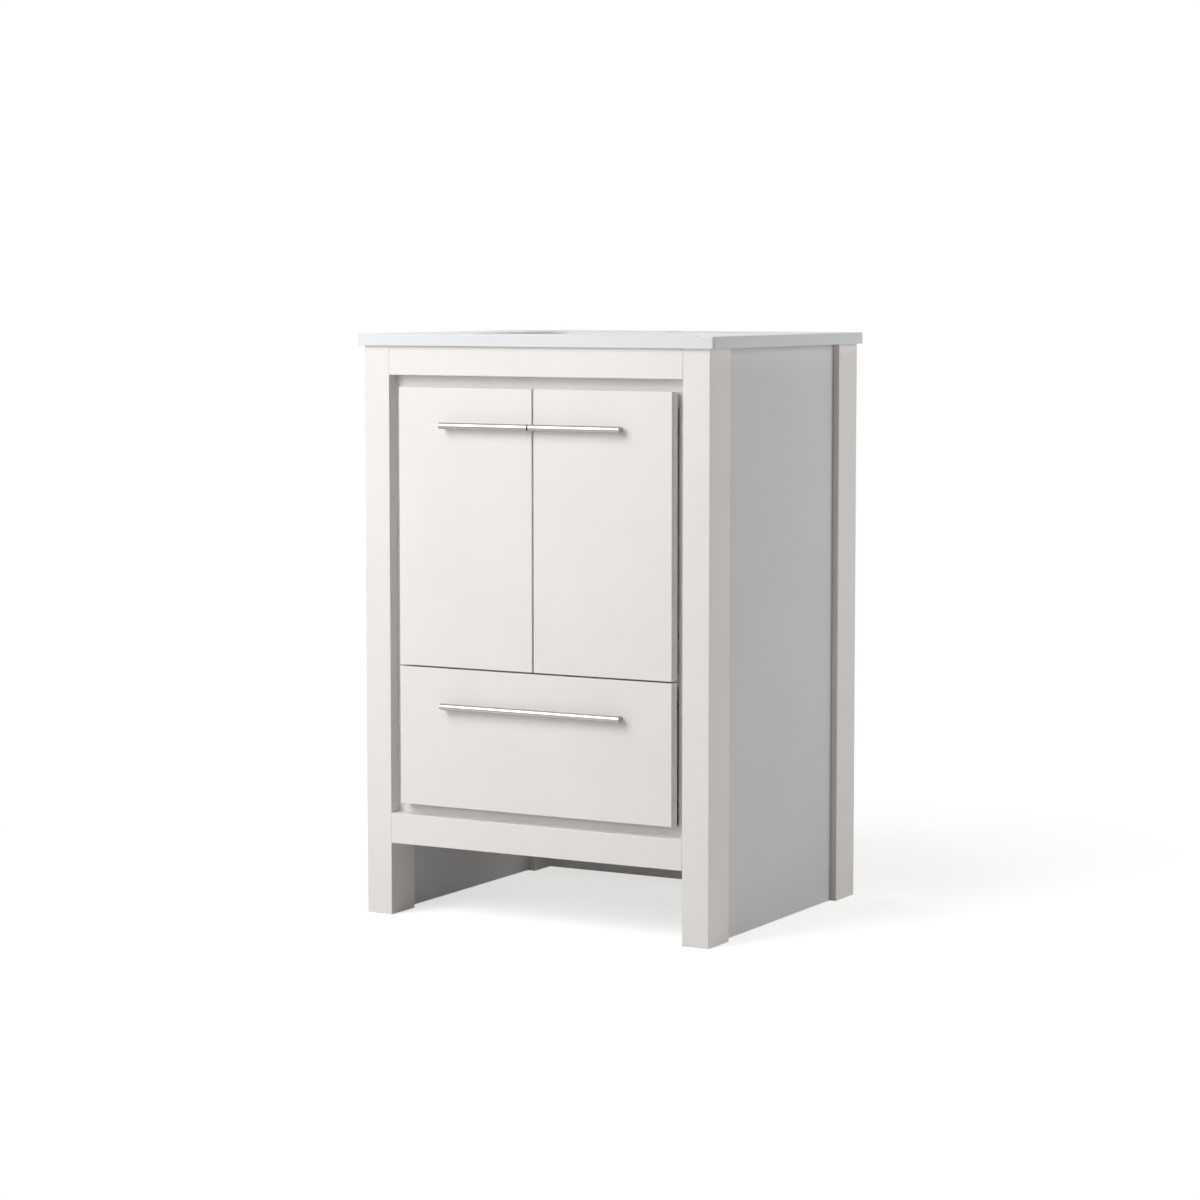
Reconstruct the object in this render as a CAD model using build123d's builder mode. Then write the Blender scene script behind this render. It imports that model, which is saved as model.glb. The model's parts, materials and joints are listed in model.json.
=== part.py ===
from build123d import *
import os

# Bathroom vanity: a frame of posts and rails round an inner carcass, with a ceramic sink top,
# two doors on concealed hinges and one drawer on ball-bearing slides. Sizes are in millimetres.
# X runs to the right, Y towards the wall and Z up. The origin is on the floor under the middle.

# Sink top
total_height = 889.0
slab_width = 609.6
slab_depth = 508.0
slab_thickness = 17.5
slab_edge_radius = 1.5
slab_corner_radius = 4.0
slab_side_overhang = 9.3
slab_front_overhang = 6.0
slab_rear_overhang = 3.0
basin_width = 385.0
basin_length = 298.0
basin_depth = 125.0
basin_wall = 12.0
basin_taper = 22.0
basin_front_ledge = 108.0
basin_corner_radius = 30.0
basin_floor_radius = 20.0
basin_rim_radius = 3.0
drain_radius = 22.5
drain_seat_radius = 32.0
drain_seat_depth = 2.0
faucet_radius = 17.5
faucet_from_rear = 54.0

# Frame
leg_width = 44.0
leg_depth = 65.0
edge_round = 1.0
floor_gap = 1.0
side_recess = 9.7
side_panel_thickness = 23.3
tongue_width = 10.0
tongue_length = 7.5
rail_thickness = 21.5
rear_rail_thickness = 20.0
top_rail_height = 44.5
bottom_rail_height = 46.3
rear_top_rail_height = 90.0
rear_bottom_rail_height = 100.0
wall_hole_spacing = 400.0
wall_hole_radius = 3.0

# Doors and drawer front
front_thickness = 17.2
side_reveal = 17.3
top_reveal = 18.0
bottom_reveal = 16.5
front_gap = 2.45
meeting_gap = 2.6
door_height = 421.65
drawer_front_height = 211.1

# Carcass inside the frame
carcass_thickness = 17.0
panel_thickness = 18.0
stretcher_height = 86.2
back_panel_thickness = 6.0
pipe_window_width = 140.0
pipe_window_height = 200.0
pipe_window_rise = 30.0
back_stile_width = 70.0
divider_overlap = 7.75
corner_block_leg = 50.0
corner_block_height = 20.0

# Handles
bar_radius = 5.0
handle_projection = 17.0
handle_drop = 56.5
handle_reach = 154.5
handle_break = 2.4
post_radius = 4.0
post_inset = 5.5
post_socket = 2.0
handle_screw_radius = 2.0
handle_hole_radius = 2.25
handle_screw_head_radius = 4.0
handle_screw_head = 2.4
handle_screw_grip = 5.0

# Concealed hinges
hinge_inset = 62.0
cup_radius = 17.5
cup_depth = 11.5
cup_wall = 1.5
cup_rim = 3.0
cup_flange_length = 54.0
cup_flange_width = 18.0
cup_flange_thickness = 1.2
cup_screw_spread = 22.0
pivot_inset = 8.0
pivot_depth = 10.0
pin_radius = 1.2
pin_length = 21.0
eye_radius = 2.2
arm_width = 9.0
arm_thickness = 2.0
arm_elbow = 12.0
arm_rise = 19.0
arm_seat = 7.5
arm_tail = 70.0
plate_base = 2.0
plate_start = 42.0
plate_length = 36.0
plate_height = 44.0
plate_block_height = 12.0
plate_screw_spread = 16.0
arm_screw_inset = 10.0

# Drawer box and slides
slide_gap = 12.7
drawer_wall = 12.0
drawer_box_height = 150.0
drawer_box_length = 420.0
drawer_box_rise = 21.2
drawer_floor = 6.0
drawer_floor_rise = 8.0
groove_depth = 5.5
front_screw_x = 100.0
front_screw_bite = 12.0
box_fixing_inset = 35.0
box_dowel_bite = 8.0
slide_length = 400.0
slide_setback = 25.0
slide_rise = 37.0
slide_sheet = 1.3
slide_screw_parts = (0.08, 0.5, 0.92)
slide_half_heights = {"cabinet": 22.8, "middle": 17.5, "drawer": 12.7}
slide_spans = {"cabinet": (0.0, 9.5), "middle": (3.0, 10.5), "drawer": (slide_gap, 5.2)}
cage_length = 150.0
cage_width = 4.0
cage_gap = 0.4
cage_outer_set = 4.8
cage_inner_set = 6.0

# Fasteners and fits
dowel_radius = 4.0
dowel_length = 40.0
dowel_parts = (0.25, 0.75)
dowel_inset = 60.0
short_dowel_length = 28.0
short_dowel_bite = 9.0
leg_screw_drop = 55.0
leg_screw_lift = 220.0
leg_screw_inset = 18.0
back_screw_inset = 40.0
carcass_screw_length = 30.0
back_screw_length = 22.0
hinge_screw_length = 12.0
arm_screw_length = 5.0
slide_screw_length = 10.0
screw_radius = 1.6
screw_head_radius = 3.3
screw_head = 1.1
bumper_radius = 3.0
bumper_height = 4.0
bumper_inset = 30.0
bumper_drop = 12.0
fit_gap = 0.05
pin_gap = 0.02
groove_gap = 0.1
end_gap = 0.5

# Levels, from the top down
slab_z = total_height - slab_thickness
top_rail_z = slab_z - top_rail_height
door_top_z = top_rail_z - top_reveal
door_bottom_z = door_top_z - door_height
drawer_top_z = door_bottom_z - front_gap
drawer_bottom_z = drawer_top_z - drawer_front_height
bottom_rail_top_z = drawer_bottom_z - bottom_reveal
bottom_rail_z = bottom_rail_top_z - bottom_rail_height
deck_top_z = drawer_bottom_z
deck_z = deck_top_z - panel_thickness
divider_top_z = door_bottom_z + divider_overlap
divider_z = divider_top_z - panel_thickness
stretcher_z = slab_z - stretcher_height
back_top_z = slab_z - rear_top_rail_height

# Depths, from the handles back
frame_depth = slab_depth - slab_front_overhang - slab_rear_overhang
front_y = handle_projection - (slab_depth - slab_front_overhang + handle_projection) / 2
slab_front_y = front_y - slab_front_overhang
slab_rear_y = slab_front_y + slab_depth
rear_y = front_y + frame_depth
recess_y = front_y + rail_thickness
carcass_rear_y = rear_y - rear_rail_thickness
front_back_y = front_y + front_thickness
bar_y = front_y - handle_projection + bar_radius

# Widths, from the sides in
leg_outer_x = slab_width / 2 - slab_side_overhang
leg_inner_x = leg_outer_x - leg_width
carcass_inner_x = leg_inner_x - carcass_thickness
front_edge_x = leg_inner_x - side_reveal
drawer_side_x = carcass_inner_x - slide_gap
drawer_inner_x = drawer_side_x - drawer_wall

sides = {"left": -1, "right": 1}
right_way = Vector(1, 0, 0)
wall_way = Vector(0, 1, 0)
up_way = Vector(0, 0, 1)

os.makedirs("parts", exist_ok=True)


def box_between(low, high, mode=Mode.ADD):
    """Add a box between two opposite corners to the part being built."""
    corner = tuple(min(pair) for pair in zip(low, high))
    span = [abs(b - a) for a, b in zip(low, high)]
    with Locations(corner):
        Box(*span, align=(Align.MIN, Align.MIN, Align.MIN), mode=mode)


def rod(start, way, radius, length, mode=Mode.ADD):
    """Add a round rod from a start point, along a direction, to the part being built."""
    with Locations(Plane(origin=start, z_dir=way)):
        Cylinder(radius, length, align=(Align.CENTER, Align.CENTER, Align.MIN), mode=mode)


def drill(start, way, radius, length):
    """Cut a round hole from a start point, along a direction."""
    rod(start, way, radius, length, mode=Mode.SUBTRACT)


def screw(start, way, shank, length, head, head_height):
    """Add a screw whose head stands on the start point and whose shank goes along the direction."""
    rod(start, way, shank, length)
    rod(start, -way, head, head_height)


def save(builder, name):
    """Name a finished piece and write it to its own file."""
    builder.part.label = name
    export_step(builder.part, f"parts/{name}.step")


# Places of the dowels, screws, hinges and handles, shared by the pieces that they join

# Each frame rail: its lowest and highest level, and the depth of its dowels
frame_rails = {
    "front_top_rail": (top_rail_z, slab_z, front_y + rail_thickness / 2),
    "front_bottom_rail": (bottom_rail_z, bottom_rail_top_z, front_y + rail_thickness / 2),
    "rear_top_rail": (back_top_z, slab_z, rear_y - rear_rail_thickness / 2),
    "rear_bottom_rail": (floor_gap, floor_gap + rear_bottom_rail_height, rear_y - rear_rail_thickness / 2),
}


def frame_dowel_places(names):
    """Depth and level of each dowel at one end of the named rails."""
    places = []
    for name in names:
        low, high, depth = frame_rails[name]
        for part in dowel_parts:
            places.append((depth, low + part * (high - low)))
    return places


# Each carcass panel: depth and level of the dowels at one of its ends
panel_dowel_depths = (recess_y + dowel_inset, carcass_rear_y - dowel_inset)
deck_dowels = [(depth, deck_z + panel_thickness / 2) for depth in panel_dowel_depths]
divider_dowels = [(depth, divider_z + panel_thickness / 2) for depth in panel_dowel_depths]
stretcher_dowel_y = recess_y + panel_thickness / 2
stretcher_dowels = [(stretcher_dowel_y, stretcher_z + part * stretcher_height) for part in dowel_parts]

# Screws from the carcass sides into the legs, and from the back panel into the carcass sides
back_screw_x = carcass_inner_x + carcass_thickness / 2
leg_screw_levels = (divider_z - leg_screw_drop, divider_z + leg_screw_lift)
leg_screw_depths = (front_y + leg_depth - leg_screw_inset, rear_y - leg_depth + leg_screw_inset)
back_screw_levels = [deck_z + back_screw_inset]
back_screw_levels += [edge - back_screw_inset for edge in (divider_top_z, back_top_z)]

hinge_levels = (door_bottom_z + hinge_inset, door_top_z - hinge_inset)
cup_x = front_edge_x - cup_rim - cup_radius
pivot_x = front_edge_x - pivot_inset
pivot_y = front_y + pivot_depth
plate_y = front_y + plate_start
plate_screw_y = plate_y + plate_length / 2
arm_screw_y = plate_y + plate_length - arm_screw_inset

slide_z = drawer_bottom_z + drawer_box_rise + slide_rise
slide_front_y = front_y + slide_setback
slide_screw_depths = [slide_front_y + part * slide_length for part in slide_screw_parts]

box_z = drawer_bottom_z + drawer_box_rise
box_top_z = box_z + drawer_box_height
box_rear_y = front_back_y + drawer_box_length
box_front_inner_y = front_back_y + drawer_wall
box_rear_inner_y = box_rear_y - drawer_wall
floor_z = box_z + drawer_floor_rise
front_screw_levels = (box_z + box_fixing_inset, box_top_z - box_fixing_inset)
front_screw_places = [(way * front_screw_x, level) for way in (-1, 1) for level in front_screw_levels]
front_screw_length = drawer_wall + front_screw_bite
box_dowel_levels = (box_z + box_fixing_inset, box_top_z - box_fixing_inset)
box_dowel_depths = (front_back_y + drawer_wall / 2, box_rear_y - drawer_wall / 2)

door_handle_z = door_top_z - handle_drop
drawer_handle_z = drawer_top_z - handle_drop
post_socket_y = bar_y + bar_radius - post_socket
door_posts = (handle_break / 2 + post_inset, handle_reach - post_inset)
drawer_posts = (post_inset - handle_reach, handle_reach - post_inset)

door_bumper_levels = (door_top_z - bumper_drop, door_bottom_z + divider_overlap / 2)
drawer_bumper_z = (drawer_top_z + divider_z) / 2


# Sink top: a ceramic slab with a sunk rectangular basin, a drain hole and a faucet hole
basin_y = slab_front_y + basin_front_ledge + basin_length / 2
basin_floor_z = total_height - basin_depth

with BuildPart() as sink_top:
    with BuildSketch(Plane.XY.offset(slab_z)):
        with Locations((0, slab_front_y + slab_depth / 2)):
            RectangleRounded(slab_width, slab_depth, slab_corner_radius)
    extrude(amount=slab_thickness)
    fillet(sink_top.edges().group_by(Axis.Z)[-1], slab_edge_radius)
    # Outside of the basin below the slab
    with BuildSketch(Plane((0, basin_y, slab_z))):
        RectangleRounded(basin_width + 2 * basin_wall, basin_length + 2 * basin_wall, basin_corner_radius)
    with BuildSketch(Plane((0, basin_y, basin_floor_z - basin_wall))):
        RectangleRounded(
            basin_width + 2 * basin_wall - 2 * basin_taper,
            basin_length + 2 * basin_wall - 2 * basin_taper,
            basin_corner_radius,
        )
    loft()
    # Hollow of the basin
    with BuildSketch(Plane((0, basin_y, total_height))):
        RectangleRounded(basin_width, basin_length, basin_corner_radius)
    with BuildSketch(Plane((0, basin_y, basin_floor_z))):
        RectangleRounded(basin_width - 2 * basin_taper, basin_length - 2 * basin_taper, basin_corner_radius)
    loft(mode=Mode.SUBTRACT)
    floor_band = (basin_floor_z - fit_gap, basin_floor_z + fit_gap)
    fillet(sink_top.edges().filter_by_position(Axis.Z, *floor_band), basin_floor_radius)
    rim_edges = sink_top.faces().sort_by(Axis.Z)[-1].inner_wires().edges()
    fillet(rim_edges, basin_rim_radius)
    with Locations((0, basin_y, basin_floor_z)):
        CounterBoreHole(drain_radius, drain_seat_radius, drain_seat_depth, depth=2 * basin_wall)
    with Locations((0, slab_rear_y - faucet_from_rear, total_height)):
        Hole(faucet_radius, depth=slab_thickness)
save(sink_top, "sink_top")


# Legs: square posts from the floor to the slab, grooved for the side panels
panel_outer_x = leg_outer_x - side_recess
panel_inner_x = panel_outer_x - side_panel_thickness
tongue_x = (panel_outer_x + panel_inner_x) / 2
front_leg_rear_y = front_y + leg_depth
rear_leg_front_y = rear_y - leg_depth


def build_leg(side, end):
    """One leg, with a panel groove, dowel holes for its two rails and carcass screw holes."""
    at_front = end == "front"
    low_y = front_y if at_front else rear_leg_front_y
    groove_y = front_leg_rear_y if at_front else rear_leg_front_y
    into_leg = -1 if at_front else 1
    screw_y = leg_screw_depths[0] if at_front else leg_screw_depths[1]
    half_groove = tongue_width / 2 + groove_gap
    with BuildPart() as leg:
        box_between((side * leg_inner_x, low_y, 0), (side * leg_outer_x, low_y + leg_depth, slab_z))
        fillet(leg.edges().filter_by(Axis.Z), edge_round)
        box_between(
            (side * tongue_x - half_groove, groove_y, 0),
            (side * tongue_x + half_groove, groove_y + into_leg * (tongue_length + end_gap), slab_z),
            mode=Mode.SUBTRACT,
        )
        for depth, level in frame_dowel_places([f"{end}_top_rail", f"{end}_bottom_rail"]):
            drill((side * leg_inner_x, depth, level), side * right_way, dowel_radius + fit_gap,
                  dowel_length / 2 + end_gap)
        for level in leg_screw_levels:
            drill((side * leg_inner_x, screw_y, level), side * right_way, screw_radius + fit_gap,
                  carcass_screw_length - carcass_thickness + end_gap)
    return leg


for side_name, side in sides.items():
    for end in ("front", "rear"):
        save(build_leg(side, end), f"{end}_{side_name}_leg")


# Side panels: set in from the outside of the legs, with a tongue along each upright edge
def build_side_panel(side):
    """One side panel with its two tongues."""
    with BuildPart() as panel:
        box_between((side * panel_inner_x, front_leg_rear_y, floor_gap),
                    (side * panel_outer_x, rear_leg_front_y, slab_z))
        box_between((side * tongue_x - tongue_width / 2, front_leg_rear_y - tongue_length, floor_gap),
                    (side * tongue_x + tongue_width / 2, rear_leg_front_y + tongue_length, slab_z))
    return panel


for side_name, side in sides.items():
    save(build_side_panel(side), f"{side_name}_side_panel")


# Frame rails: butted between the legs on dowels
def build_frame_rail(name):
    """One rail between two legs, with its long visible edges and its ends eased."""
    low, high, depth = frame_rails[name]
    at_front = name.startswith("front")
    thickness = rail_thickness if at_front else rear_rail_thickness
    with BuildPart() as rail:
        box_between((-leg_inner_x, depth - thickness / 2, low), (leg_inner_x, depth + thickness / 2, high))
        if at_front:
            fillet(rail.faces().sort_by(Axis.Y)[0].edges(), edge_round)
        for side in sides.values():
            for dowel_y, dowel_z in frame_dowel_places([name]):
                drill((side * leg_inner_x, dowel_y, dowel_z), -side * right_way, dowel_radius + fit_gap,
                      dowel_length / 2 + end_gap)
        if name == "rear_top_rail":
            for side in sides.values():
                drill((side * wall_hole_spacing / 2, depth - thickness / 2, (low + high) / 2), wall_way,
                      wall_hole_radius, thickness)
    return rail


for rail_name in frame_rails:
    save(build_frame_rail(rail_name), rail_name)

with BuildPart() as frame_dowels:
    for side in sides.values():
        for depth, level in frame_dowel_places(frame_rails):
            rod((side * (leg_inner_x - dowel_length / 2), depth, level), side * right_way,
                dowel_radius, dowel_length)
save(frame_dowels, "frame_dowels")


# Carcass: two sides, a stretcher, a divider shelf and a bottom deck
def build_carcass_side(side):
    """One carcass side, drilled for dowels, leg screws, hinge plates and a drawer slide."""
    inner_x = side * carcass_inner_x
    outward = side * right_way
    with BuildPart() as panel:
        box_between((inner_x, recess_y, deck_z), (side * leg_inner_x, carcass_rear_y, slab_z))
        for depth, level in stretcher_dowels + deck_dowels + divider_dowels:
            drill((inner_x, depth, level), outward, dowel_radius + fit_gap, short_dowel_bite + end_gap)
        for depth in leg_screw_depths:
            for level in leg_screw_levels:
                drill((inner_x, depth, level), outward, screw_radius + fit_gap, carcass_thickness)
        for level in back_screw_levels:
            drill((side * back_screw_x, carcass_rear_y, level), -wall_way, screw_radius + fit_gap,
                  back_screw_length - back_panel_thickness + end_gap)
        for level in hinge_levels:
            for spread in (-plate_screw_spread, plate_screw_spread):
                drill((inner_x, plate_screw_y, level + spread), outward, screw_radius + fit_gap,
                      hinge_screw_length - plate_base + end_gap)
        for depth in slide_screw_depths:
            drill((inner_x, depth, slide_z), outward, screw_radius + fit_gap,
                  slide_screw_length - slide_sheet + end_gap)
    return panel


for side_name, side in sides.items():
    save(build_carcass_side(side), f"{side_name}_carcass_side")


def build_carcass_panel(rear_y_limit, low, high, dowel_places):
    """One panel between the carcass sides, drilled for the dowels at both ends."""
    with BuildPart() as panel:
        box_between((-carcass_inner_x, recess_y, low), (carcass_inner_x, rear_y_limit, high))
        for side in sides.values():
            for depth, level in dowel_places:
                drill((side * carcass_inner_x, depth, level), -side * right_way, dowel_radius + fit_gap,
                      short_dowel_length - short_dowel_bite + end_gap)
    return panel


stretcher_rear_y = recess_y + panel_thickness
save(build_carcass_panel(stretcher_rear_y, stretcher_z, slab_z, stretcher_dowels), "carcass_stretcher")
save(build_carcass_panel(carcass_rear_y, deck_z, deck_top_z, deck_dowels), "bottom_deck")
save(build_carcass_panel(carcass_rear_y, divider_z, divider_top_z, divider_dowels), "divider_shelf")

# Back panel: a thin sheet behind the carcass, with a pipe window on each side of a middle stile
with BuildPart() as back_panel:
    box_between((-leg_inner_x, carcass_rear_y, deck_z),
                (leg_inner_x, carcass_rear_y + back_panel_thickness, back_top_z))
    window_z = divider_top_z + pipe_window_rise
    for side in sides.values():
        box_between(
            (side * back_stile_width / 2, carcass_rear_y, window_z),
            (side * (back_stile_width / 2 + pipe_window_width), carcass_rear_y + back_panel_thickness,
             window_z + pipe_window_height),
            mode=Mode.SUBTRACT,
        )
        for level in back_screw_levels:
            drill((side * back_screw_x, carcass_rear_y, level), wall_way, screw_radius + fit_gap,
                  back_panel_thickness)
save(back_panel, "back_panel")

with BuildPart() as carcass_dowels:
    for side in sides.values():
        for depth, level in stretcher_dowels + deck_dowels + divider_dowels:
            rod((side * (carcass_inner_x + short_dowel_bite), depth, level), -side * right_way,
                dowel_radius, short_dowel_length)
save(carcass_dowels, "carcass_dowels")

with BuildPart() as carcass_screws:
    for side in sides.values():
        for depth in leg_screw_depths:
            for level in leg_screw_levels:
                screw((side * carcass_inner_x, depth, level), side * right_way, screw_radius,
                      carcass_screw_length, screw_head_radius, screw_head)
        for level in back_screw_levels:
            screw((side * back_screw_x, carcass_rear_y + back_panel_thickness, level), -wall_way,
                  screw_radius, back_screw_length, screw_head_radius, screw_head)
save(carcass_screws, "carcass_screws")

# Corner blocks: glued triangles under the slab, in the four corners of the carcass
with BuildPart() as corner_blocks:
    for side in sides.values():
        for corner_y, inward in ((stretcher_rear_y, 1), (carcass_rear_y, -1)):
            with BuildSketch(Plane.XY.offset(slab_z - corner_block_height)) as triangle:
                with BuildLine():
                    Polyline(
                        (side * carcass_inner_x, corner_y),
                        (side * (carcass_inner_x - corner_block_leg), corner_y),
                        (side * carcass_inner_x, corner_y + inward * corner_block_leg),
                        close=True,
                    )
                make_face()
            extrude(triangle.sketch, amount=corner_block_height, dir=(0, 0, 1))
save(corner_blocks, "corner_blocks")


# Doors: flat slabs with two hinge cup bores and two handle screw holes
def build_door(side):
    """One door, hinged at its outer edge."""
    outer_x = side * front_edge_x
    with BuildPart() as door:
        box_between((side * meeting_gap / 2, front_y, door_bottom_z), (outer_x, front_back_y, door_top_z))
        fillet(door.faces().sort_by(Axis.Y)[0].edges(), edge_round)
        for level in hinge_levels:
            drill((side * cup_x, front_back_y, level), -wall_way, cup_radius + fit_gap, cup_depth)
            for spread in (-cup_screw_spread, cup_screw_spread):
                drill((side * cup_x, front_back_y, level + spread), -wall_way, screw_radius + fit_gap,
                      hinge_screw_length - cup_flange_thickness + end_gap)
        for post_x in door_posts:
            drill((side * post_x, front_y, door_handle_z), wall_way, handle_hole_radius,
                  front_thickness)
    return door


for side_name, side in sides.items():
    save(build_door(side), f"{side_name}_door")


# Concealed hinges: a cup and a pin in the door, an arm and a mounting plate on the carcass
def build_hinge_cups(side):
    """The two cups of one door, with their flanges and pin holes."""
    floor_y = front_back_y - cup_depth + fit_gap
    with BuildPart() as cups:
        for level in hinge_levels:
            rod((side * cup_x, floor_y, level), wall_way, cup_radius, cup_depth - fit_gap)
            box_between(
                (side * cup_x - cup_flange_width / 2, front_back_y, level - cup_flange_length / 2),
                (side * cup_x + cup_flange_width / 2, front_back_y + cup_flange_thickness,
                 level + cup_flange_length / 2),
            )
            drill((side * cup_x, floor_y + cup_wall, level), wall_way, cup_radius - cup_wall, cup_depth)
            drill((side * pivot_x, pivot_y, level - pin_length / 2), up_way, pin_radius + pin_gap, pin_length)
            for spread in (-cup_screw_spread, cup_screw_spread):
                drill((side * cup_x, front_back_y, level + spread), wall_way, screw_radius + fit_gap,
                      cup_flange_thickness)
    return cups


def build_hinge_pins(side):
    """The two pivot pins of one door."""
    with BuildPart() as pins:
        for level in hinge_levels:
            rod((side * pivot_x, pivot_y, level - pin_length / 2), up_way, pin_radius, pin_length)
    return pins


def build_cup_screws(side):
    """The four screws that hold the cups of one door."""
    with BuildPart() as screws:
        for level in hinge_levels:
            for spread in (-cup_screw_spread, cup_screw_spread):
                screw((side * cup_x, front_back_y + cup_flange_thickness, level + spread), -wall_way,
                      screw_radius, hinge_screw_length, screw_head_radius, screw_head)
    return screws


for side_name, side in sides.items():
    save(build_hinge_cups(side), f"{side_name}_hinge_cups")
    save(build_hinge_pins(side), f"{side_name}_hinge_pins")
    save(build_cup_screws(side), f"{side_name}_cup_screws")

# Cranked arms: from the pin into the cup, out of its mouth and back along the mounting plate
elbow_x = pivot_x - arm_elbow
seat_x = carcass_inner_x - arm_seat
arm_turn_y = pivot_y + arm_rise
half_arm = arm_thickness / 2
arm_runs = (
    ((elbow_x - half_arm, pivot_y - half_arm), (pivot_x, pivot_y + half_arm)),
    ((elbow_x - half_arm, pivot_y - half_arm), (elbow_x + half_arm, arm_turn_y + half_arm)),
    ((elbow_x - half_arm, arm_turn_y - half_arm), (seat_x + half_arm, arm_turn_y + half_arm)),
    ((seat_x - half_arm, arm_turn_y - half_arm), (seat_x + half_arm, pivot_y + arm_tail)),
)

with BuildPart() as hinge_arms:
    for side in sides.values():
        for level in hinge_levels:
            low_z = level - arm_width / 2
            for (low_x, low_y), (high_x, high_y) in arm_runs:
                box_between((side * low_x, low_y, low_z), (side * high_x, high_y, low_z + arm_width))
            rod((side * pivot_x, pivot_y, low_z), up_way, eye_radius, arm_width)
            drill((side * pivot_x, pivot_y, low_z), up_way, pin_radius + fit_gap, arm_width)
            drill((side * (seat_x - half_arm), arm_screw_y, level), side * right_way, screw_radius + fit_gap,
                  arm_thickness)
save(hinge_arms, "hinge_arms")

block_face_x = seat_x + half_arm
with BuildPart() as hinge_plates:
    for side in sides.values():
        for level in hinge_levels:
            box_between((side * (carcass_inner_x - plate_base), plate_y, level - plate_height / 2),
                        (side * carcass_inner_x, plate_y + plate_length, level + plate_height / 2))
            box_between((side * block_face_x, plate_y, level - plate_block_height / 2),
                        (side * carcass_inner_x, plate_y + plate_length, level + plate_block_height / 2))
            for spread in (-plate_screw_spread, plate_screw_spread):
                drill((side * (carcass_inner_x - plate_base), plate_screw_y, level + spread),
                      side * right_way, screw_radius + fit_gap, plate_base)
            drill((side * block_face_x, arm_screw_y, level), side * right_way, screw_radius + fit_gap,
                  arm_screw_length - arm_thickness + end_gap)
save(hinge_plates, "hinge_plates")


# Drawer slides: three nested channels on each side, with ball cages on the middle one
def channel(side, web_x, tip_x, half_height):
    """Add one slide channel, from the outside of its web to the tips of its flanges."""
    web_side = 1 if tip_x > web_x else -1
    front = slide_front_y
    rear = slide_front_y + slide_length
    box_between((side * web_x, front, slide_z - half_height),
                (side * (web_x + web_side * slide_sheet), rear, slide_z + half_height))
    for level in (slide_z - half_height, slide_z + half_height - slide_sheet):
        box_between((side * web_x, front, level), (side * tip_x, rear, level + slide_sheet))


def build_slide(side, member):
    """One member of a slide. Its span runs from web to flange tips, from the carcass to the drawer."""
    web, tip = slide_spans[member]
    with BuildPart() as slide:
        channel(side, carcass_inner_x - web, carcass_inner_x - tip, slide_half_heights[member])
        if member != "middle":
            for depth in slide_screw_depths:
                drill((side * (carcass_inner_x - slide_gap - end_gap), depth, slide_z), side * right_way,
                      screw_radius + fit_gap, slide_gap + 2 * end_gap)
    return slide


def build_ball_cages(side):
    """The four ball cages of one slide, on the flanges of its middle member."""
    middle = slide_half_heights["middle"]
    outer_top = slide_half_heights["cabinet"] - slide_sheet - cage_gap
    inner_low = slide_half_heights["drawer"] + cage_gap
    rear = slide_front_y + (slide_length + cage_length) / 2
    with BuildPart() as cages:
        for way in (-1, 1):
            for low, high, start in (
                (middle, outer_top, cage_outer_set),
                (inner_low, middle - slide_sheet, cage_inner_set),
            ):
                box_between(
                    (side * (carcass_inner_x - start), rear - cage_length, slide_z + way * low),
                    (side * (carcass_inner_x - start - cage_width), rear, slide_z + way * high),
                )
    return cages


for side_name, side in sides.items():
    for member in slide_spans:
        save(build_slide(side, member), f"{side_name}_{member}_slide")
    save(build_ball_cages(side), f"{side_name}_ball_cages")

# Screws of the hinge plates, the hinge arms and the cabinet members of the slides
with BuildPart() as hardware_screws:
    for side in sides.values():
        outward = side * right_way
        for level in hinge_levels:
            for spread in (-plate_screw_spread, plate_screw_spread):
                screw((side * (carcass_inner_x - plate_base), plate_screw_y, level + spread), outward,
                      screw_radius, hinge_screw_length, screw_head_radius, screw_head)
            screw((side * (seat_x - half_arm), arm_screw_y, level), outward, screw_radius,
                  arm_screw_length, screw_head_radius, screw_head)
        for depth in slide_screw_depths:
            screw((side * (carcass_inner_x - slide_sheet), depth, slide_z), outward, screw_radius,
                  slide_screw_length, screw_head_radius, screw_head)
save(hardware_screws, "hardware_screws")


# Handles: a round bar with two posts, held by machine screws from behind
def build_handle_bar(low_x, high_x, level, posts):
    """One round bar with a shallow socket in its back for each post."""
    with BuildPart() as bar:
        rod((low_x, bar_y, level), right_way, bar_radius, high_x - low_x)
        fillet(bar.edges(), edge_round / 2)
        for post_x in posts:
            drill((post_x, post_socket_y, level), wall_way, post_radius + pin_gap, bar_radius)
    return bar


def build_handle_posts(level, posts):
    """The posts of one handle, from the front's face into the bar's sockets."""
    with BuildPart() as group:
        for post_x in posts:
            rod((post_x, post_socket_y, level), wall_way, post_radius, front_y - post_socket_y)
            drill((post_x, front_y, level), -wall_way, handle_screw_radius + pin_gap,
                  handle_screw_grip + end_gap)
    return group


def build_handle_screws(level, posts, head_y):
    """The screws of one handle, from behind the front into the posts."""
    with BuildPart() as group:
        for post_x in posts:
            screw((post_x, head_y, level), -wall_way, handle_screw_radius,
                  head_y - front_y + handle_screw_grip, handle_screw_head_radius, handle_screw_head)
    return group


for side_name, side in sides.items():
    ends = sorted((side * handle_break / 2, side * handle_reach))
    posts = [side * post_x for post_x in door_posts]
    save(build_handle_bar(*ends, door_handle_z, posts), f"{side_name}_door_handle")
    save(build_handle_posts(door_handle_z, posts), f"{side_name}_handle_posts")
    save(build_handle_screws(door_handle_z, posts, front_back_y), f"{side_name}_handle_screws")

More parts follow.
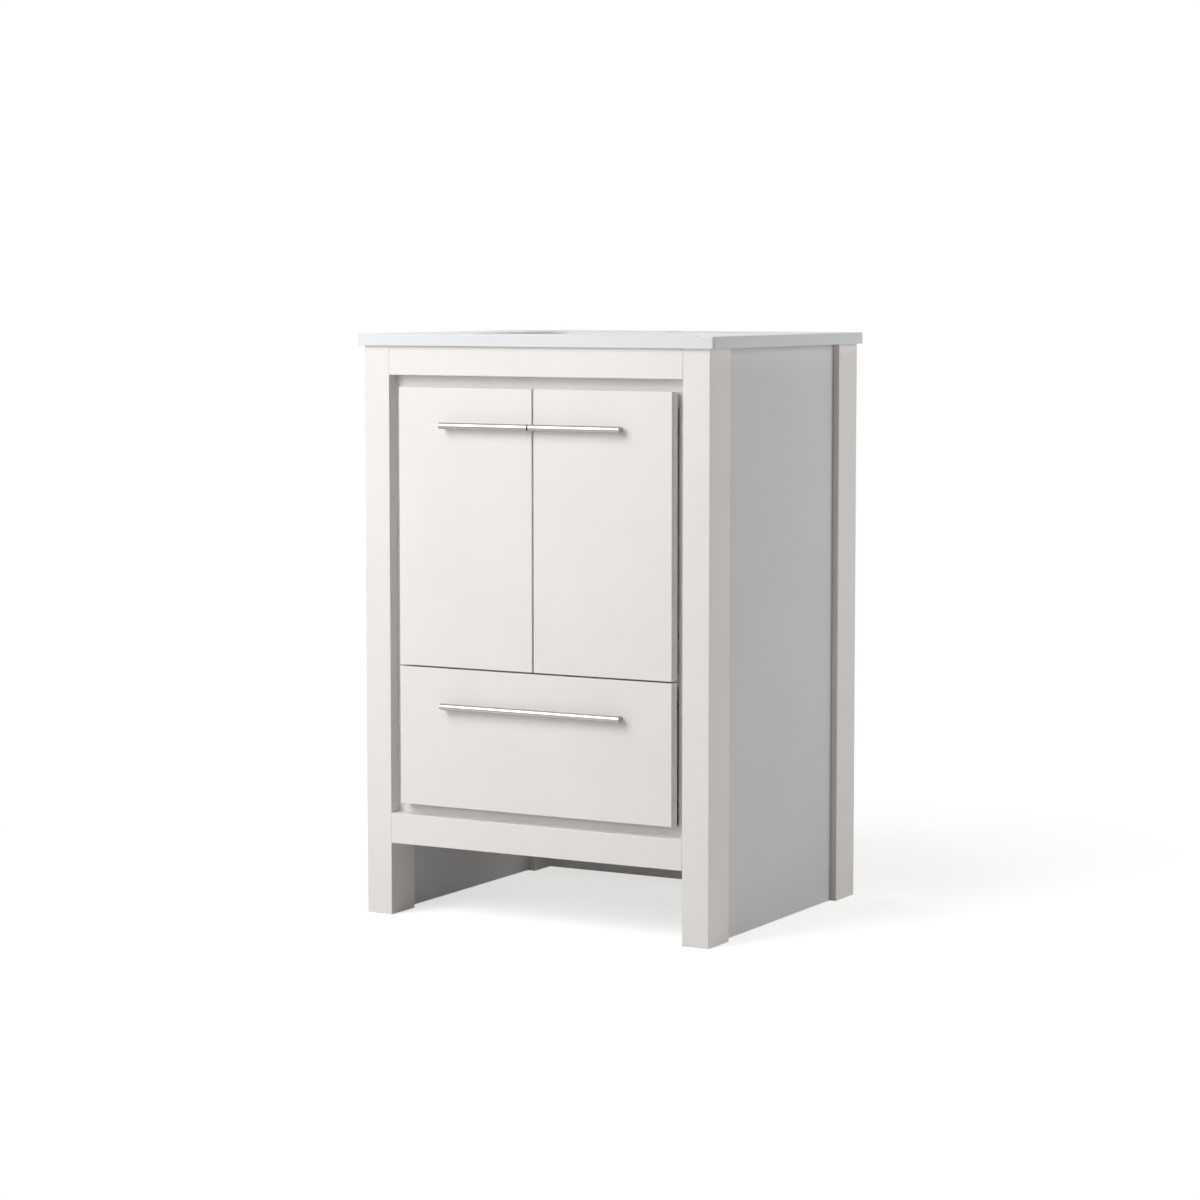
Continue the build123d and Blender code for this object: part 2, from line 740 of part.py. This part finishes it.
save(build_handle_bar(-handle_reach, handle_reach, drawer_handle_z, drawer_posts), "drawer_handle")
save(build_handle_posts(drawer_handle_z, drawer_posts), "drawer_handle_posts")
save(build_handle_screws(drawer_handle_z, drawer_posts, box_front_inner_y), "drawer_handle_screws")


# Bumpers: soft discs on the backs of the doors and of the drawer front
def build_bumpers(places):
    """A group of bumpers at the given widths and levels."""
    with BuildPart() as group:
        for place_x, level in places:
            rod((place_x, front_back_y, level), wall_way, bumper_radius, bumper_height)
    return group


for side_name, side in sides.items():
    places = [(side * bumper_inset, level) for level in door_bumper_levels]
    save(build_bumpers(places), f"{side_name}_door_bumpers")
places = [(side * (drawer_inner_x - bumper_inset), drawer_bumper_z) for side in sides.values()]
save(build_bumpers(places), "drawer_bumpers")

# Drawer: an applied front on a four-sided box with a grooved-in floor
with BuildPart() as drawer_front:
    box_between((-front_edge_x, front_y, drawer_bottom_z), (front_edge_x, front_back_y, drawer_top_z))
    fillet(drawer_front.faces().sort_by(Axis.Y)[0].edges(), edge_round)
    for post_x in drawer_posts:
        drill((post_x, front_y, drawer_handle_z), wall_way, handle_hole_radius, front_thickness)
    for place_x, level in front_screw_places:
        drill((place_x, front_back_y, level), -wall_way, screw_radius + fit_gap,
              front_screw_length - drawer_wall + end_gap)
save(drawer_front, "drawer_front")


def cut_floor_groove():
    """Cut the groove for the drawer floor out of the wall being built."""
    box_between(
        (-drawer_inner_x - groove_depth, box_front_inner_y - groove_depth, floor_z - groove_gap),
        (drawer_inner_x + groove_depth, box_rear_inner_y + groove_depth, floor_z + drawer_floor + groove_gap),
        mode=Mode.SUBTRACT,
    )


def build_box_end(low_y):
    """The inner front or the back of the drawer box, between its sides."""
    with BuildPart() as wall:
        box_between((-drawer_inner_x, low_y, box_z), (drawer_inner_x, low_y + drawer_wall, box_top_z))
        cut_floor_groove()
        for side in sides.values():
            for level in box_dowel_levels:
                drill((side * drawer_inner_x, low_y + drawer_wall / 2, level), -side * right_way,
                      dowel_radius + fit_gap, short_dowel_length - box_dowel_bite + end_gap)
        if low_y == front_back_y:
            for post_x in drawer_posts:
                drill((post_x, low_y, drawer_handle_z), wall_way, handle_hole_radius, drawer_wall)
            for place_x, level in front_screw_places:
                drill((place_x, low_y, level), wall_way, screw_radius + fit_gap, drawer_wall)
    return wall


def build_box_side(side):
    """One side of the drawer box, drilled for dowels and for its slide member."""
    with BuildPart() as wall:
        box_between((side * drawer_inner_x, front_back_y, box_z),
                    (side * drawer_side_x, box_rear_y, box_top_z))
        cut_floor_groove()
        for depth in box_dowel_depths:
            for level in box_dowel_levels:
                drill((side * drawer_inner_x, depth, level), side * right_way, dowel_radius + fit_gap,
                      box_dowel_bite + end_gap)
        for depth in slide_screw_depths:
            drill((side * drawer_side_x, depth, slide_z), -side * right_way, screw_radius + fit_gap,
                  slide_screw_length - slide_sheet + end_gap)
    return wall


save(build_box_end(front_back_y), "drawer_inner_front")
save(build_box_end(box_rear_inner_y), "drawer_back")
for side_name, side in sides.items():
    save(build_box_side(side), f"drawer_{side_name}_side")

with BuildPart() as drawer_bottom:
    floor_reach = groove_depth - end_gap
    box_between((-drawer_inner_x - floor_reach, box_front_inner_y - floor_reach, floor_z),
                (drawer_inner_x + floor_reach, box_rear_inner_y + floor_reach, floor_z + drawer_floor))
save(drawer_bottom, "drawer_bottom")

with BuildPart() as drawer_dowels:
    for side in sides.values():
        for depth in box_dowel_depths:
            for level in box_dowel_levels:
                rod((side * (drawer_inner_x + box_dowel_bite), depth, level), -side * right_way,
                    dowel_radius, short_dowel_length)
save(drawer_dowels, "drawer_dowels")

with BuildPart() as drawer_screws:
    for place_x, level in front_screw_places:
        screw((place_x, box_front_inner_y, level), -wall_way, screw_radius, front_screw_length,
              screw_head_radius, screw_head)
    for side in sides.values():
        for depth in slide_screw_depths:
            screw((side * (drawer_side_x + slide_sheet), depth, slide_z), -side * right_way,
                  screw_radius, slide_screw_length, screw_head_radius, screw_head)
save(drawer_screws, "drawer_screws")
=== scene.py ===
"""Looks of a bathroom vanity cabinet: finishes for every piece, floor, studio light and camera."""

import json
import math

import bmesh
import bpy
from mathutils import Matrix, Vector


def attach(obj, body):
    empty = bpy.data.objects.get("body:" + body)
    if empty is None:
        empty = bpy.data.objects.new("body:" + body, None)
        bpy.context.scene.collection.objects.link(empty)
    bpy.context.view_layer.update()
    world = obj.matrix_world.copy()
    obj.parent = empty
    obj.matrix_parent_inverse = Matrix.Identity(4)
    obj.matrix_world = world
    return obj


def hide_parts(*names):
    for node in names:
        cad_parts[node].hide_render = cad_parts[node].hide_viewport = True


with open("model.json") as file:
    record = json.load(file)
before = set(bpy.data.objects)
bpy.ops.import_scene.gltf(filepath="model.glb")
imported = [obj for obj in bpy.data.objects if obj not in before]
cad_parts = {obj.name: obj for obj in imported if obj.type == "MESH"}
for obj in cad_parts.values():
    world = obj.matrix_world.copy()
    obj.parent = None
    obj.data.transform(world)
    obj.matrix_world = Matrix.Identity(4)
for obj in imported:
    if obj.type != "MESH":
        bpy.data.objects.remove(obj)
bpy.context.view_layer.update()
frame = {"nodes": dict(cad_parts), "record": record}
nodes = frame["nodes"]

# Camera, in metres, degrees and millimetres of lens and sensor
camera_place = (2.47918, -4.45684, 0.96213)
camera_yaw = 29.295
camera_pitch = 4.819
camera_lens = 99.19
camera_sensor = 36.0
camera_shift = -0.03

# Lamps stand on a ball around the object, in metres
lamp_target = Vector((0.0, -0.1, 0.45))
lamp_distance = 3.0

# Even light: the world's level, and the floor's glow on surfaces and where it is seen
ambient_level = 0.02
floor_light = 0.06
floor_glow = 0.62

# Floor, in metres: its reach, its drop below the feet, and where it starts and ends to fade to white
floor_half = 7.0
floor_drop = 0.0005
fade_start = 0.5
fade_end = 1.3

# Colours, as sRGB from 0 to 255, and plain white for the shaders
warm_paint = (231, 227, 224)
# The side panels take a darker, greyer copy of the paint colour
darker_panel_colour = (213, 212, 210)
glaze_white = (217, 219, 221)
nickel = (172, 172, 171)
plated_steel = (200, 200, 198)
zinc_steel = (196, 199, 203)
screw_zinc = (205, 203, 196)
beech = (205, 166, 122)
birch = (232, 210, 176)
fibre_brown = (150, 116, 82)
cage_black = (34, 35, 38)
bumper_grey = (214, 214, 210)
floor_dim = (206, 206, 205)
floor_pale = (212, 212, 211)
plain_white = (1.0, 1.0, 1.0, 1.0)

# Waves per metre of the noises that are the same every way
cloud_waves = 6
paint_gloss_waves = 35
spray_waves = 700
glaze_cloud_waves = 9
glaze_gloss_waves = 25
glaze_swell_waves = 11
patch_waves = 50
fibre_waves = 260
mould_cloud_waves = 120
mould_grain_waves = 1500
floor_waves = 3

# Noise values at which a tint is darkest and lightest, and the part of a noise that gloss follows
narrow_ends = (0.35, 0.65)
wide_ends = (0.3, 0.7)
band_ends = (0.25, 0.5, 0.75)
pore_ends = (0.34, 0.42)
gloss_low, gloss_high = 0.3, 0.7

# Brightness of a colour at those ends
paint_shades = (0.975, 1.0)
glaze_shades = (0.98, 1.0)
metal_shades = (0.86, 1.04)
band_shades = (0.78, 0.95, 1.05)
pore_shade = 0.5
pore_strength = 0.3
face_shades = (0.95, 1.0)
fibre_shades = (0.7, 1.1)
mould_shades = (0.85, 1.05)

# Gloss: roughness from low to high, and the level of mirror reflection
paint_roughness = (0.42, 0.52)
paint_specular = 0.3
glaze_roughness = (0.3, 0.33)
glaze_specular = 0.26
wood_roughness = (0.62, 0.46)
fibre_roughness = (0.5, 0.8)
mould_spread = 0.06

# Relief of the surfaces, in metres
grain_relief = 0.00006
spray_relief = 0.00003
glaze_relief = 0.00002
line_relief = 0.000002
band_relief = 0.00008
pore_relief = 0.00006
fibre_relief = 0.00005

# A face counts as the front one when its normal points this far along -y
front_normal = -0.7

# Screws: shares of the head's radius and height, and of the shank's radius for its point
weld_distance = 0.00001
rim_share = 0.9
tip_width = 0.25
tip_length = 1.6
cross_arm = 0.46
cross_half = 0.13
head_rings = ((0.0, 1.0), (0.3, 1.0), (0.72, 0.88), (0.93, 0.66))
slot_rings = ((0.97, 1.0), (0.15, 0.65))
sharp_angle = math.radians(35.0)


def linear(colour, factor=1.0):
    """An sRGB colour as linear RGBA, with its brightness scaled."""
    channels = []
    for part in colour:
        share = part / 255.0
        value = share / 12.92 if share <= 0.04045 else ((share + 0.055) / 1.055) ** 2.4
        channels.append(min(1.0, value * factor))
    return (*channels, 1.0)


def new_material(name):
    """A node material with its tree and its main shader."""
    material = bpy.data.materials.new(name)
    material.use_nodes = True
    tree = material.node_tree
    return material, tree, tree.nodes["Principled BSDF"]


def noise(tree, waves, detail=2.0, roughness=0.5, distortion=0.0):
    """A soft noise over the piece, with so many waves per metre along x, y and z."""
    place = tree.nodes.new("ShaderNodeTexCoord")
    stretch = tree.nodes.new("ShaderNodeMapping")
    texture = tree.nodes.new("ShaderNodeTexNoise")
    stretch.inputs["Scale"].default_value = waves
    texture.inputs["Scale"].default_value = 1.0
    texture.inputs["Detail"].default_value = detail
    texture.inputs["Roughness"].default_value = roughness
    texture.inputs["Distortion"].default_value = distortion
    tree.links.new(place.outputs["Object"], stretch.inputs["Vector"])
    tree.links.new(stretch.outputs["Vector"], texture.inputs["Vector"])
    return texture.outputs["Fac"]


def even_noise(tree, waves, **character):
    """A noise with the same number of waves per metre every way."""
    return noise(tree, (waves, waves, waves), **character)


def colour_ramp(tree, value, stops):
    """A colour for each value, from a list of (position, colour)."""
    ramp = tree.nodes.new("ShaderNodeValToRGB")
    elements = ramp.color_ramp.elements
    while len(elements) < len(stops):
        elements.new(0.5)
    for element, (position, colour) in zip(elements, stops):
        element.position = position
        element.color = colour
    tree.links.new(value, ramp.inputs["Fac"])
    return ramp.outputs["Color"]


def tint(tree, value, colour, ends, shades):
    """Shades of one colour, each at its own value of a noise."""
    return colour_ramp(tree, value, [(end, linear(colour, shade)) for end, shade in zip(ends, shades)])


def spread(tree, value, low, high):
    """The middle of a noise, spread from low to high."""
    span = tree.nodes.new("ShaderNodeMapRange")
    span.inputs["From Min"].default_value = gloss_low
    span.inputs["From Max"].default_value = gloss_high
    span.inputs["To Min"].default_value = low
    span.inputs["To Max"].default_value = high
    tree.links.new(value, span.inputs["Value"])
    return span.outputs["Result"]


def bump(tree, shader, *layers):
    """Relief of the surface from (noise, depth in metres) layers."""
    below = None
    for value, depth in layers:
        relief = tree.nodes.new("ShaderNodeBump")
        relief.inputs["Strength"].default_value = 1.0
        relief.inputs["Distance"].default_value = depth
        tree.links.new(value, relief.inputs["Height"])
        if below:
            tree.links.new(below, relief.inputs["Normal"])
        below = relief.outputs["Normal"]
    tree.links.new(below, shader.inputs["Normal"])


def paint(name, colour, grain_waves):
    """Satin paint: faint clouding, a sprayed surface, and the wood's grain just showing through."""
    material, tree, shader = new_material(name)
    clouds = even_noise(tree, cloud_waves, detail=3.0)
    tree.links.new(tint(tree, clouds, colour, narrow_ends, paint_shades), shader.inputs["Base Color"])
    gloss = even_noise(tree, paint_gloss_waves)
    tree.links.new(spread(tree, gloss, *paint_roughness), shader.inputs["Roughness"])
    shader.inputs["Specular IOR Level"].default_value = paint_specular
    spray = even_noise(tree, spray_waves)
    grain = noise(tree, grain_waves, detail=4.0)
    bump(tree, shader, (grain, grain_relief), (spray, spray_relief))
    return material


def glaze(name, colour):
    """Glazed ceramic: almost even, with a slight wave in its gloss."""
    material, tree, shader = new_material(name)
    clouds = even_noise(tree, glaze_cloud_waves)
    tree.links.new(tint(tree, clouds, colour, narrow_ends, glaze_shades), shader.inputs["Base Color"])
    gloss = even_noise(tree, glaze_gloss_waves)
    tree.links.new(spread(tree, gloss, *glaze_roughness), shader.inputs["Roughness"])
    shader.inputs["Specular IOR Level"].default_value = glaze_specular
    bump(tree, shader, (even_noise(tree, glaze_swell_waves), glaze_relief))
    return material


def metal(name, colour, line_waves, smooth, rough):
    """Plated metal with fine lines left by brushing, drawing or turning."""
    material, tree, shader = new_material(name)
    lines = noise(tree, line_waves, detail=3.0, roughness=0.6)
    patches = even_noise(tree, patch_waves)
    tree.links.new(tint(tree, lines, colour, wide_ends, metal_shades), shader.inputs["Base Color"])
    shader.inputs["Metallic"].default_value = 1.0
    tree.links.new(spread(tree, patches, smooth, rough), shader.inputs["Roughness"])
    bump(tree, shader, (lines, line_relief))
    return material


def wood(name, colour, band_waves, pore_waves):
    """Bare or lacquered wood: broad bands, fine fibre and short dark pores along the grain."""
    material, tree, shader = new_material(name)
    bands = noise(tree, band_waves, detail=5.0, roughness=0.6, distortion=0.6)
    pores = noise(tree, pore_waves)
    dark = colour_ramp(tree, pores, list(zip(pore_ends, (linear(colour, pore_shade), plain_white))))
    mix = tree.nodes.new("ShaderNodeMixRGB")
    mix.blend_type = "MULTIPLY"
    mix.inputs["Fac"].default_value = pore_strength
    tree.links.new(tint(tree, bands, colour, band_ends, band_shades), mix.inputs["Color1"])
    tree.links.new(dark, mix.inputs["Color2"])
    tree.links.new(mix.outputs["Color"], shader.inputs["Base Color"])
    tree.links.new(spread(tree, pores, *wood_roughness), shader.inputs["Roughness"])
    bump(tree, shader, (bands, band_relief), (pores, pore_relief))
    return material


def faced_hardboard(name, face, core):
    """Hardboard with a white face towards the cupboard and bare fibre behind and on the edges."""
    material, tree, shader = new_material(name)
    fibre = even_noise(tree, fibre_waves, detail=5.0, roughness=0.7)
    clouds = even_noise(tree, cloud_waves, detail=3.0)
    surface = tree.nodes.new("ShaderNodeNewGeometry")
    axes = tree.nodes.new("ShaderNodeSeparateXYZ")
    tree.links.new(surface.outputs["True Normal"], axes.inputs["Vector"])
    front = tree.nodes.new("ShaderNodeMath")
    front.operation = "LESS_THAN"
    front.inputs[1].default_value = front_normal
    tree.links.new(axes.outputs["Y"], front.inputs[0])
    mix = tree.nodes.new("ShaderNodeMixRGB")
    tree.links.new(front.outputs["Value"], mix.inputs["Fac"])
    tree.links.new(tint(tree, fibre, core, wide_ends, fibre_shades), mix.inputs["Color1"])
    tree.links.new(tint(tree, clouds, face, narrow_ends, face_shades), mix.inputs["Color2"])
    tree.links.new(mix.outputs["Color"], shader.inputs["Base Color"])
    tree.links.new(spread(tree, fibre, *fibre_roughness), shader.inputs["Roughness"])
    bump(tree, shader, (fibre, fibre_relief))
    return material


def moulded(name, colour, rough, grain_depth):
    """Moulded plastic or rubber with a fine eroded grain."""
    material, tree, shader = new_material(name)
    clouds = even_noise(tree, mould_cloud_waves, detail=3.0)
    tree.links.new(tint(tree, clouds, colour, wide_ends, mould_shades), shader.inputs["Base Color"])
    gloss = spread(tree, clouds, rough - mould_spread, rough + mould_spread)
    tree.links.new(gloss, shader.inputs["Roughness"])
    bump(tree, shader, (even_noise(tree, mould_grain_waves), grain_depth))
    return material


# Finishes, with the grain along each piece's length
upright_paint = paint("paint_upright", warm_paint, grain_waves=(300, 300, 8))
level_paint = paint("paint_level", warm_paint, grain_waves=(8, 300, 300))
board_paint = paint("paint_board", warm_paint, grain_waves=(60, 60, 60))
# Side panels: the same satin paint in a darker, greyer colour
panel_paint = paint("paint_panel", darker_panel_colour, grain_waves=(60, 60, 60))
ceramic = glaze("ceramic_glaze", glaze_white)
bar_nickel = metal("bar_nickel", nickel, line_waves=(6, 900, 900), smooth=0.13, rough=0.17)
hinge_nickel = metal("hinge_nickel", plated_steel, line_waves=(300, 900, 300), smooth=0.26, rough=0.36)
slide_zinc = metal("slide_zinc", zinc_steel, line_waves=(900, 6, 900), smooth=0.3, rough=0.42)
screw_plate = metal("screw_plate", screw_zinc, line_waves=(700, 700, 700), smooth=0.3, rough=0.4)
beech_wood = wood("beech_wood", beech, band_waves=(8, 90, 90), pore_waves=(120, 1500, 1500))
birch_level = wood("birch_level", birch, band_waves=(7, 110, 110), pore_waves=(90, 1400, 1400))
birch_deep = wood("birch_deep", birch, band_waves=(110, 7, 110), pore_waves=(1400, 90, 1400))
hardboard = faced_hardboard("faced_hardboard", warm_paint, fibre_brown)
cage_plastic = moulded("cage_plastic", cage_black, rough=0.42, grain_depth=0.00003)
bumper_rubber = moulded("bumper_rubber", bumper_grey, rough=0.5, grain_depth=0.00002)

slot_finish = {
    "painted_wood": board_paint,
    "raw_wood": beech_wood,
    "drawer_board": birch_level,
    "back_board": hardboard,
    "ceramic": ceramic,
    "handle_metal": bar_nickel,
    "hinge_steel": hinge_nickel,
    "slide_steel": slide_zinc,
    "screw_steel": screw_plate,
    "cage_plastic": cage_plastic,
    "bumper_rubber": bumper_rubber,
}
node_finish = {
    "front_left_leg": upright_paint,
    "front_right_leg": upright_paint,
    "rear_left_leg": upright_paint,
    "rear_right_leg": upright_paint,
    "front_top_rail": level_paint,
    "front_bottom_rail": level_paint,
    "rear_top_rail": level_paint,
    "rear_bottom_rail": level_paint,
    "left_side_panel": panel_paint,
    "right_side_panel": panel_paint,
    "drawer_left_side": birch_deep,
    "drawer_right_side": birch_deep,
    "drawer_bottom": birch_deep,
}
slot_of = {part["node"]: part["material_slot"] for part in frame["record"]["subparts"]}
for node, slot_name in slot_of.items():
    for slot in nodes[node].material_slots:
        slot.material = node_finish.get(node, slot_finish[slot_name])


def separate_solids(mesh):
    """The points of each separate solid in a mesh."""
    welded = bmesh.new()
    welded.from_mesh(mesh)
    bmesh.ops.remove_doubles(welded, verts=welded.verts, dist=weld_distance)
    seen = set()
    solids = []
    for first in welded.verts:
        if first in seen:
            continue
        seen.add(first)
        group = [first]
        for point in group:
            for edge in point.link_edges:
                other = edge.other_vert(point)
                if other not in seen:
                    seen.add(other)
                    group.append(other)
        solids.append([point.co.copy() for point in group])
    welded.free()
    return solids


def measure_screw(points):
    """A plain screw's seat under its head, its way out, and the sizes of its head and shank."""
    low = Vector([min(point[side] for point in points) for side in range(3)])
    high = Vector([max(point[side] for point in points) for side in range(3)])
    size = high - low
    along = min(range(3), key=lambda side: abs(size[side - 1] - size[side - 2]))
    middle = (low + high) / 2
    reach = []
    for point in points:
        away = point - middle
        away[along] = 0.0
        reach.append(away.length)
    head_radius = max(reach)
    rim_reach = rim_share * head_radius
    rim = [point[along] for point, far in zip(points, reach) if far > rim_reach]
    shank_radius = max(far for far in reach if far < rim_reach)
    head_height = max(rim) - min(rim)
    outward = high[along] - max(rim) < head_height / 2
    seat = middle.copy()
    seat[along] = min(rim) if outward else max(rim)
    way = Vector((0.0, 0.0, 0.0))
    way[along] = 1.0 if outward else -1.0
    return seat, way, head_radius, head_height, shank_radius, size[along] - head_height


def cross_outline():
    """The corners of a cross slot and the points half way between them, for a head of radius 1."""
    arm, half = cross_arm, cross_half
    corners = [(arm, -half), (arm, half), (half, half), (half, arm), (-half, arm), (-half, half)]
    corners += [(-x, -y) for x, y in corners]
    outline = []
    for (x, y), (next_x, next_y) in zip(corners, corners[1:] + corners[:1]):
        outline += [(x, y), ((x + next_x) / 2, (y + next_y) / 2)]
    return outline


def add_screw(shape, seat, way, head_radius, head_height, shank_radius, length):
    """Add one screw: a pointed shank, a domed head and a cross slot sunk in it."""
    across = way.orthogonal().normalized()
    upward = way.cross(across)
    outline = cross_outline()
    circle = [(x / math.hypot(x, y), y / math.hypot(x, y)) for x, y in outline]
    rows = [(-length, circle, tip_width * shank_radius)]
    rows += [(tip_length * shank_radius - length, circle, shank_radius)]
    rows += [(0.0, circle, shank_radius)]
    rows += [(rise * head_height, circle, width * head_radius) for rise, width in head_rings]
    rows += [(rise * head_height, outline, width * head_radius) for rise, width in slot_rings]
    rings = []
    for out, line, radius in rows:
        middle = seat + way * out
        rings.append([shape.verts.new(middle + (across * x + upward * y) * radius) for x, y in line])
    count = len(outline)
    for below, above in zip(rings, rings[1:]):
        for turn in range(count):
            after = (turn + 1) % count
            shape.faces.new((below[turn], below[after], above[after], above[turn]))
    shape.faces.new(rings[0])
    shape.faces.new(rings[-1])


# Screws with domed heads and cross slots, each on a plain screw's axis and to its sizes
for body, members in frame["record"]["behaviour"]["bodies"].items():
    for node in members:
        if slot_of[node] != "screw_steel":
            continue
        shape = bmesh.new()
        for points in separate_solids(nodes[node].data):
            add_screw(shape, *measure_screw(points))
        bmesh.ops.recalc_face_normals(shape, faces=shape.faces)
        screw_mesh = bpy.data.meshes.new(node + "_slotted")
        shape.to_mesh(screw_mesh)
        shape.free()
        screw_mesh.polygons.foreach_set("use_smooth", [True] * len(screw_mesh.polygons))
        screw_mesh.set_sharp_from_angle(angle=sharp_angle)
        screw_mesh.materials.append(screw_plate)
        slotted = bpy.data.objects.new(node + "_slotted", screw_mesh)
        bpy.context.scene.collection.objects.link(slotted)
        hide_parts(node)
        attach(slotted, body)


def seen_directly(tree):
    """1 for what the camera sees straight, in a mirror or through glass, 0 for light on surfaces."""
    path = tree.nodes.new("ShaderNodeLightPath")
    total = path.outputs["Is Camera Ray"]
    for ray in ("Is Glossy Ray", "Is Transmission Ray"):
        larger = tree.nodes.new("ShaderNodeMath")
        larger.operation = "MAXIMUM"
        tree.links.new(total, larger.inputs[0])
        tree.links.new(path.outputs[ray], larger.inputs[1])
        total = larger.outputs["Value"]
    return total


def light_level(tree, direct, on_surfaces, where_seen):
    """A strength of light that differs between surfaces and what is seen directly."""
    level = tree.nodes.new("ShaderNodeMapRange")
    level.inputs["To Min"].default_value = on_surfaces
    level.inputs["To Max"].default_value = where_seen
    tree.links.new(direct, level.inputs["Value"])
    return level.outputs["Result"]


def floor_material():
    """Pale floor that keeps shadows near the object and fades to plain white further out."""
    material, tree, shader = new_material("studio_floor")
    tree.nodes.remove(shader)
    matte = tree.nodes.new("ShaderNodeBsdfDiffuse")
    colours = (linear(floor_dim), linear(floor_pale))
    clouded = colour_ramp(tree, even_noise(tree, floor_waves), list(zip(wide_ends, colours)))
    tree.links.new(clouded, matte.inputs["Color"])
    direct = seen_directly(tree)
    glow = tree.nodes.new("ShaderNodeEmission")
    tree.links.new(light_level(tree, direct, floor_light, floor_glow), glow.inputs["Strength"])
    lit = tree.nodes.new("ShaderNodeAddShader")
    tree.links.new(matte.outputs["BSDF"], lit.inputs[0])
    tree.links.new(glow.outputs["Emission"], lit.inputs[1])
    white = tree.nodes.new("ShaderNodeEmission")
    place = tree.nodes.new("ShaderNodeTexCoord")
    reach = tree.nodes.new("ShaderNodeVectorMath")
    reach.operation = "LENGTH"
    tree.links.new(place.outputs["Object"], reach.inputs[0])
    fade = tree.nodes.new("ShaderNodeMapRange")
    fade.interpolation_type = "SMOOTHSTEP"
    fade.inputs["From Min"].default_value = fade_start
    fade.inputs["From Max"].default_value = fade_end
    tree.links.new(reach.outputs["Value"], fade.inputs["Value"])
    share = tree.nodes.new("ShaderNodeMath")
    share.operation = "MULTIPLY"
    tree.links.new(fade.outputs["Result"], share.inputs[0])
    tree.links.new(direct, share.inputs[1])
    mix = tree.nodes.new("ShaderNodeMixShader")
    tree.links.new(share.outputs["Value"], mix.inputs["Fac"])
    tree.links.new(lit.outputs["Shader"], mix.inputs[1])
    tree.links.new(white.outputs["Emission"], mix.inputs[2])
    tree.links.new(mix.outputs["Shader"], tree.nodes["Material Output"].inputs["Surface"])
    return material


# Floor, just under the feet
corners = [(-floor_half, -floor_half, 0), (floor_half, -floor_half, 0)]
corners += [(floor_half, floor_half, 0), (-floor_half, floor_half, 0)]
floor_mesh = bpy.data.meshes.new("floor")
floor_mesh.from_pydata(corners, [], [(0, 1, 2, 3)])
floor = bpy.data.objects.new("floor", floor_mesh)
floor.location.z = -floor_drop
floor_mesh.materials.append(floor_material())
bpy.context.scene.collection.objects.link(floor)

# World: even light on surfaces, plain white where it is seen
world = bpy.data.worlds.new("studio_world")
bpy.context.scene.world = world
world.use_nodes = True
sky = world.node_tree
even_light = sky.nodes["Background"]
even_light.inputs["Color"].default_value = plain_white
sky_level = light_level(sky, seen_directly(sky), ambient_level, 1.0)
sky.links.new(sky_level, even_light.inputs["Strength"])


def lamp(name, turn, height, size, power, mirrored=True):
    """A soft lamp towards the object, turned from the front and raised by so many degrees, in watts."""
    turn, height = math.radians(turn), math.radians(height)
    way = Vector((math.sin(turn) * math.cos(height), -math.cos(turn) * math.cos(height), math.sin(height)))
    light = bpy.data.lights.new(name, "AREA")
    light.shape = "RECTANGLE"
    light.size, light.size_y = size
    light.energy = power
    holder = bpy.data.objects.new(name, light)
    holder.location = lamp_target + lamp_distance * way
    holder.rotation_euler = way.to_track_quat("Z", "Y").to_euler()
    holder.visible_camera = False
    holder.visible_glossy = mirrored
    bpy.context.scene.collection.objects.link(holder)


lamp("key_light", turn=-25.0, height=17.0, size=(2.0, 1.2), power=33.0)
lamp("high_light", turn=-25.0, height=40.0, size=(2.0, 1.4), power=52.0)
lamp("side_light", turn=122.0, height=16.0, size=(1.6, 1.6), power=38.0, mirrored=False)
lamp("top_light", turn=0.0, height=84.0, size=(1.8, 1.8), power=18.0)
lamp("back_light", turn=-115.0, height=35.0, size=(1.6, 1.6), power=16.0, mirrored=False)

# Camera at the photograph's place
lens = bpy.data.cameras.new("camera")
lens.sensor_width = camera_sensor
lens.lens = camera_lens
lens.shift_y = camera_shift
camera = bpy.data.objects.new("camera", lens)
camera.location = camera_place
camera.rotation_euler = (math.radians(90.0 - camera_pitch), 0.0, math.radians(camera_yaw))
bpy.context.scene.collection.objects.link(camera)
bpy.context.scene.camera = camera

bpy.context.scene.view_settings.view_transform = "Standard"
